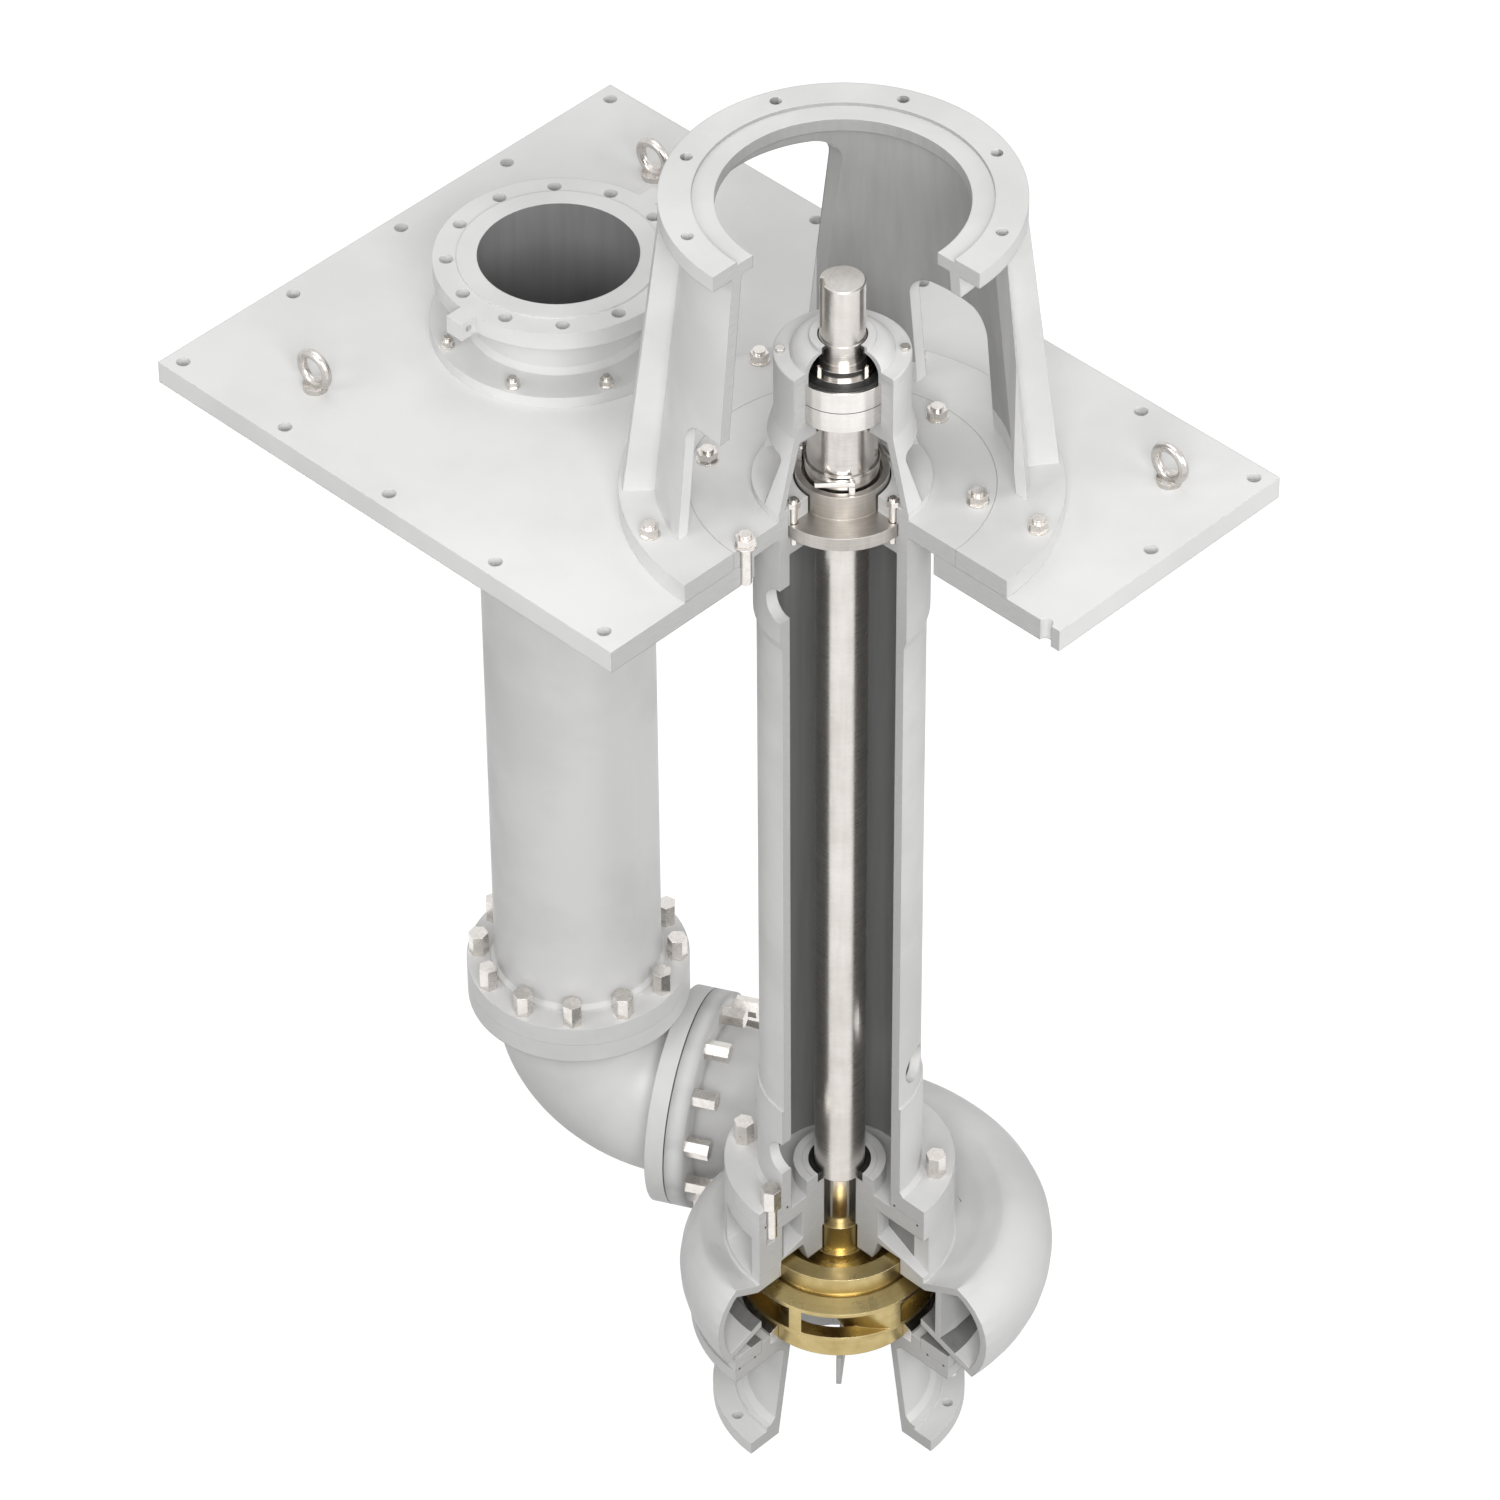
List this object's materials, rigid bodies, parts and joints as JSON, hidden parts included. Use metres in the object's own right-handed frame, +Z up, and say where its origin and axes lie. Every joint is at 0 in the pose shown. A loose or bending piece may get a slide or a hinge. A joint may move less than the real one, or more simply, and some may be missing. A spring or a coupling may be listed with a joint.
{
  "type": "centrifugal pump",
  "caption": "Vertical long-shaft chemical sump pump with a sectioned quadrant: motor stand, shaft column, double volute, closed impeller and flanged discharge pipe.",
  "frame": {"origin": "the pump axis on the underside of the base plate", "axes": "+Z up along the shaft towards the motor face, -X towards the discharge pipe, the removed display quadrant at +X and -Y"},
  "size_m": [1.45, 1, 2.555],
  "materials": {
    "casting_paint": "satin light grey paint over cast iron and steel",
    "fastener_steel": "stainless, lightly brushed",
    "bright_steel": "turned and polished",
    "brass": "machined, satin",
    "black_rubber": "smooth black elastomer"
  },
  "bodies": {
    "frame": {"base_plate": "casting_paint", "lifting_eyes": "fastener_steel", "motor_stand": "casting_paint", "stand_bolts": "fastener_steel", "column_pipe": "casting_paint", "head_bolts": "fastener_steel", "column_bolts": "fastener_steel", "bearing_bracket": "casting_paint", "bearing_cover": "casting_paint", "cover_screws": "fastener_steel", "cover_seal": "black_rubber", "bearing_outer_rings": "bright_steel", "seal_gland": "bright_steel", "seal_studs": "fastener_steel", "guide_bush": "bright_steel", "bush_retainer": "casting_paint", "stem_seal": "black_rubber", "volute_casing": "casting_paint", "wear_ring": "bright_steel", "suction_cover": "casting_paint", "cover_bolts": "fastener_steel", "discharge_pipe": "casting_paint", "sole_bolts": "fastener_steel", "elbow": "casting_paint", "elbow_top_bolts": "fastener_steel", "elbow_side_bolts": "fastener_steel"},
    "rotor": {"shaft": "bright_steel", "bearing_inner_rings": "bright_steel", "lock_nut": "fastener_steel", "lock_washer": "fastener_steel", "spacer_sleeve": "bright_steel", "drive_collar": "bright_steel", "collar_screws": "fastener_steel", "stem_sleeve": "brass", "impeller": "brass", "impeller_nut": "brass"},
    "ball_set": {"bearing_balls": "bright_steel", "bearing_cages": "brass"}
  },
  "joints": [
    {"name": "rotor_spin", "type": "hinge", "parent": "frame", "child": "rotor", "pos_m": [0, 0, 0], "axis": [0, 0, 1], "continuous": true},
    {"name": "ball_orbit", "type": "hinge", "parent": "frame", "child": "ball_set", "pos_m": [0, 0, 0], "axis": [0, 0, 1], "continuous": true}
  ],
  "couplings": [
    {"joint": "ball_orbit", "follows": "rotor_spin", "ratio": 0.3936}
  ]
}
